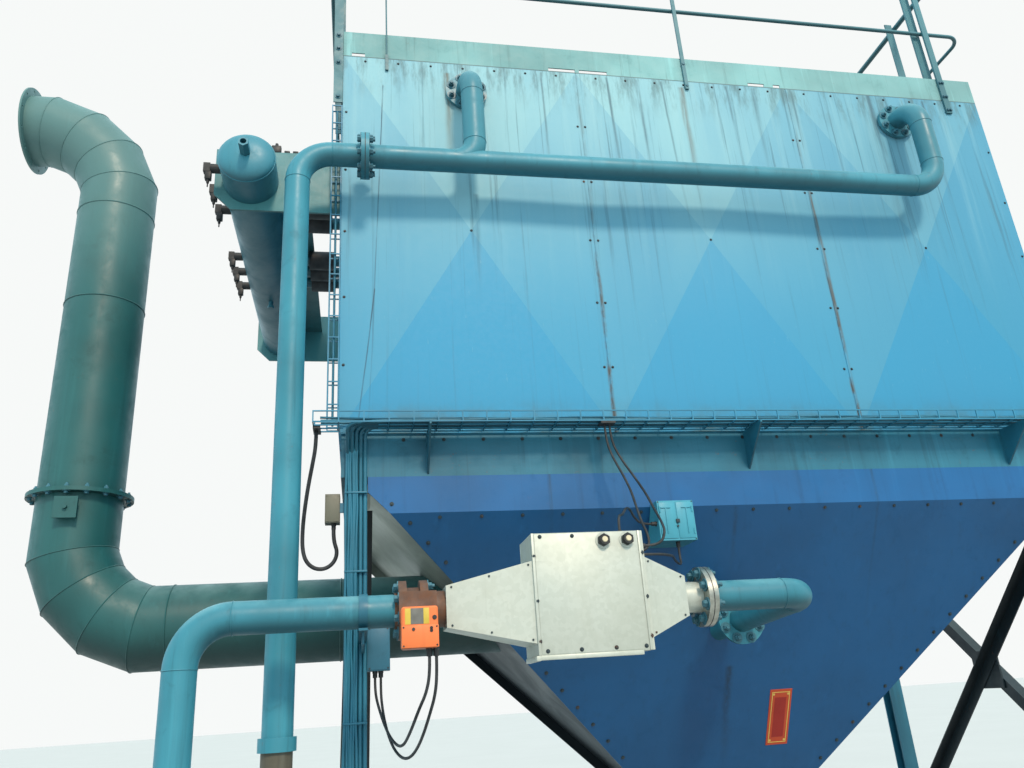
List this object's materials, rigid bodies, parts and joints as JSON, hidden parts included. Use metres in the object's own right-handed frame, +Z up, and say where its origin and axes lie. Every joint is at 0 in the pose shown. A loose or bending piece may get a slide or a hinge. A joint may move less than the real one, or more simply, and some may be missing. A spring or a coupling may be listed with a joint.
{
  "type": "modular dust collector",
  "caption": "Panelled bag-filter dust collector on steel legs, with hopper, round inlet duct, pulse-air header tank, guard rail and a hot-air pipe loop with a duct heater.",
  "frame": {"origin": "on the floor under the casing's front left edge, on the underside of the front left base plate", "axes": "+X to the right along the front wall, +Y from the front into the casing's depth, +Z up"},
  "size_m": [5.5457, 2.963, 5.589],
  "materials": {
    "actuator_orange": "satin",
    "black_plastic": "matte",
    "box_grey": "satin",
    "box_turquoise": "satin",
    "brace_navy": "satin",
    "cable_blue": "overpainted",
    "casing_blue": "satin",
    "deck_grey": "matte",
    "duct_green": "satin",
    "frame_blue": "satin",
    "galvanised": "spangled zinc",
    "hopper_blue": "satin",
    "machine_grey": "satin",
    "pipe_blue": "satin",
    "rail_grey": "satin",
    "rubber": "matte",
    "stainless": "brushed",
    "tank_blue": "satin",
    "tray_blue": "satin",
    "valve_iron": "rusty"
  },
  "bodies": {
    "root": {"blow_pipes": "tank_blue", "blow_sleeves": "rubber", "brace_left": "brace_navy", "brace_right": "brace_navy", "branch_pipe": "pipe_blue", "butterfly_valve": "valve_iron", "cable_bundle": "cable_blue", "cable_glands": "black_plastic", "cable_ladder": "tray_blue", "cable_tray": "tray_blue", "column_back_left": "frame_blue", "column_back_right": "frame_blue", "column_front_left": "frame_blue", "column_front_right": "frame_blue", "downcomer": "pipe_blue", "duct_hatch": "duct_green", "duct_lower": "duct_green", "duct_upper": "duct_green", "fan_casing": "machine_grey", "fan_motor": "machine_grey", "fan_stand": "frame_blue", "girder_back": "frame_blue", "girder_front": "frame_blue", "girder_left": "frame_blue", "girder_right": "frame_blue", "grey_box": "box_grey", "handrail_posts": "rail_grey", "header_tank": "tank_blue", "heater": "galvanised", "heater_flange": "stainless", "heater_riser": "pipe_blue", "hopper_back": "hopper_blue", "hopper_front": "hopper_blue", "hopper_left": "galvanised", "hopper_pipe": "pipe_blue", "hopper_right": "hopper_blue", "junction_box": "box_turquoise", "loose_actuator_cable_left": "black_plastic", "loose_actuator_cable_right": "black_plastic", "loose_grey_box_cable": "black_plastic", "loose_heater_cable_back": "black_plastic", "loose_heater_cable_high": "black_plastic", "loose_heater_cable_low": "black_plastic", "loose_heater_cable_side": "black_plastic", "mid_rail": "rail_grey", "outlet_flange": "hopper_blue", "pipe_clamp": "frame_blue", "pulse_valves": "black_plastic", "return_manifold": "pipe_blue", "roof_plate": "deck_grey", "suction_pipe": "pipe_blue", "tank_supports": "tank_blue", "terminal_boxes": "box_turquoise", "toe_boards": "casing_blue", "top_rail": "rail_grey", "valve_actuator": "actuator_orange", "wall_back": "casing_blue", "wall_front": "casing_blue", "wall_left": "casing_blue", "wall_right": "casing_blue"}
  },
  "joints": []
}
